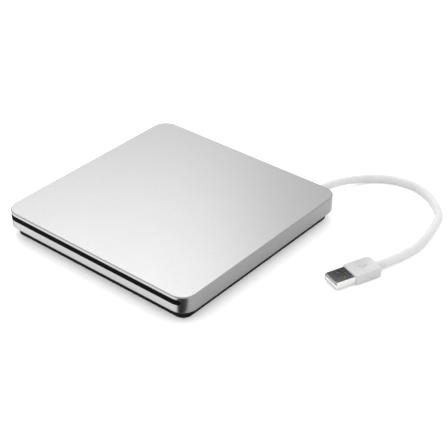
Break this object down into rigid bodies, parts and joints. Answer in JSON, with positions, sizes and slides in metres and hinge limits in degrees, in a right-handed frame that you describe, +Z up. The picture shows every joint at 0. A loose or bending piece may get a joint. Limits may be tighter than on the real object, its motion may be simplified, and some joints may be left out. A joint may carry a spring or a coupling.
{
  "type": "external optical drive",
  "caption": "Slim square slot-loading disc drive in an aluminium shell on a smaller black base, with its loading mechanism inside and a captive white cable ending in a USB plug.",
  "frame": {"origin": "middle of the underside of the base pad, on the table", "axes": "+Z up; the disc slot faces -Y; +X is to the right of someone facing the slot; the cable leaves the +Y side"},
  "size_m": [0.1977, 0.1969, 0.017],
  "materials": {
    "aluminium_shell": "fine bead-blasted, anodised",
    "felt": "felt",
    "black_plastic": "matte",
    "black_rubber": "matte",
    "sheet_steel": "zinc-plated sheet",
    "bright_steel": "polished",
    "screw_steel": "satin",
    "bearing_brass": "plain",
    "core_steel": "laminated",
    "copper": "enamelled wire",
    "pickup_alloy": "die-cast",
    "lens_glass": "coated",
    "grey_plastic": "matte",
    "dark_plastic": "matte",
    "white_plastic": "matte",
    "magnet": "nickel",
    "board_green": "solder mask",
    "chip_black": "epoxy",
    "white_cable": "satin",
    "plug_white": "satin",
    "plug_steel": "nickel-plated",
    "gold": "gold-plated",
    "wire_insulation": "insulation"
  },
  "bodies": {
    "housing": {"top_shell": "aluminium_shell", "slot_felts": "felt", "base_tray": "black_plastic", "base_pad": "black_rubber", "drive_chassis": "sheet_steel", "drive_lid": "sheet_steel", "small_screws": "screw_steel", "mount_bushes": "black_rubber", "mount_screws": "screw_steel", "loading_motor": "bright_steel", "motor_cap": "white_plastic", "guide_spring": "bright_steel", "pivot_posts": "bright_steel", "retaining_clips": "screw_steel", "disc_guide": "dark_plastic", "main_board": "board_green", "main_chips": "chip_black", "flex_sockets": "white_plastic", "bridge_board": "board_green", "bridge_chips": "chip_black", "interface_connector": "chip_black", "usb_wires": "wire_insulation", "cable_grommet": "plug_white", "usb_cable": "white_cable", "plug_body": "plug_white", "plug_shell": "plug_steel", "plug_tongue": "white_plastic", "plug_contacts": "gold"},
    "traverse": {"traverse_frame": "sheet_steel", "guide_rods": "bright_steel", "motor_base": "sheet_steel", "motor_screws": "screw_steel", "spindle_bearing": "bearing_brass", "stator_core": "core_steel", "stator_coils": "copper", "sled_motor": "bright_steel"},
    "spindle": {"rotor_cup": "bright_steel", "rotor_magnet": "magnet", "spindle_shaft": "bright_steel", "turntable": "dark_plastic", "turntable_ring": "black_rubber"},
    "jaw_1": {"clamp_jaw_1": "white_plastic"},
    "jaw_2": {"clamp_jaw_2": "white_plastic"},
    "jaw_3": {"clamp_jaw_3": "white_plastic"},
    "pickup": {"pickup_housing": "pickup_alloy", "pickup_cover": "bright_steel", "laser_diode": "bearing_brass", "actuator_magnets": "magnet", "lead_nut": "white_plastic"},
    "lens": {"lens_holder": "dark_plastic", "objective_lens": "lens_glass", "focus_coils": "copper"},
    "lead_screw": {"lead_screw": "bright_steel"},
    "cam_slide": {"cam_slide": "grey_plastic"},
    "loading_gear": {"loading_gear": "white_plastic"},
    "loading_worm": {"loading_worm": "bearing_brass"},
    "eject_arm": {"eject_arm": "sheet_steel", "eject_roller": "white_plastic"},
    "guide_arm": {"guide_arm": "sheet_steel", "guide_roller": "white_plastic"}
  },
  "joints": [
    {"name": "traverse_lift", "type": "hinge", "parent": "housing", "child": "traverse", "pos_m": [-0.04808, -0.04958, 0.0083], "axis": [-0.7071, 0.7071, 0], "range_deg": [0, 1.8]},
    {"name": "spindle_spin", "type": "hinge", "parent": "traverse", "child": "spindle", "pos_m": [0, -0.0015, 0.01], "axis": [0, 0, 1], "continuous": true},
    {"name": "pickup_travel", "type": "slide", "parent": "traverse", "child": "pickup", "axis": [-0.7071, -0.7071, 0], "range_m": [0, 0.0345]},
    {"name": "lead_screw_spin", "type": "hinge", "parent": "traverse", "child": "lead_screw", "pos_m": [-0.00453, -0.0394, 0.0086], "axis": [-0.7071, -0.7071, 0], "range_deg": [-5, 4150]},
    {"name": "lens_focus", "type": "slide", "parent": "pickup", "child": "lens", "axis": [0, 0, 1], "range_m": [-0.0004, 0.0004], "stiffness_N_per_m": 40},
    {"name": "cam_slide_travel", "type": "slide", "parent": "housing", "child": "cam_slide", "axis": [-1, 0, 0], "range_m": [0, 0.01]},
    {"name": "loading_gear_spin", "type": "hinge", "parent": "housing", "child": "loading_gear", "pos_m": [0.049, 0.03052, 0.009], "axis": [0, 0, 1], "range_deg": [-165, 1]},
    {"name": "loading_worm_spin", "type": "hinge", "parent": "housing", "child": "loading_worm", "pos_m": [0.05755, 0.031, 0.01], "axis": [0, 1, 0], "range_deg": [-5, 4600]},
    {"name": "eject_arm_swing", "type": "hinge", "parent": "housing", "child": "eject_arm", "pos_m": [-0.052, 0.044, 0.0115], "axis": [0, 0, 1], "range_deg": [-42, 0.5]},
    {"name": "guide_arm_swing", "type": "hinge", "parent": "housing", "child": "guide_arm", "pos_m": [0.0535, -0.022, 0.0115], "axis": [0, 0, 1], "range_deg": [0, 37.7], "stiffness_Nm_per_rad": 0.002, "springref_deg": -5.73},
    {"name": "jaw_1_press", "type": "slide", "parent": "spindle", "child": "jaw_1", "axis": [-0.2588, 0.9659, 0], "range_m": [0, 0.0006], "stiffness_N_per_m": 150, "springref_m": -0.0003},
    {"name": "jaw_2_press", "type": "slide", "parent": "spindle", "child": "jaw_2", "axis": [-0.7071, -0.7071, 0], "range_m": [0, 0.0006], "stiffness_N_per_m": 150, "springref_m": -0.0003},
    {"name": "jaw_3_press", "type": "slide", "parent": "spindle", "child": "jaw_3", "axis": [0.9659, -0.2588, 0], "range_m": [0, 0.0006], "stiffness_N_per_m": 150, "springref_m": -0.0003}
  ],
  "couplings": [
    {"joint": "traverse_lift", "follows": "cam_slide_travel", "rad_per_m": 3.1416},
    {"joint": "eject_arm_swing", "follows": "cam_slide_travel", "rad_per_m": -72.78},
    {"joint": "loading_gear_spin", "follows": "cam_slide_travel", "rad_per_m": -285.71},
    {"joint": "loading_worm_spin", "follows": "cam_slide_travel", "rad_per_m": 8000},
    {"joint": "lead_screw_spin", "follows": "pickup_travel", "rad_per_m": 2094.4}
  ]
}
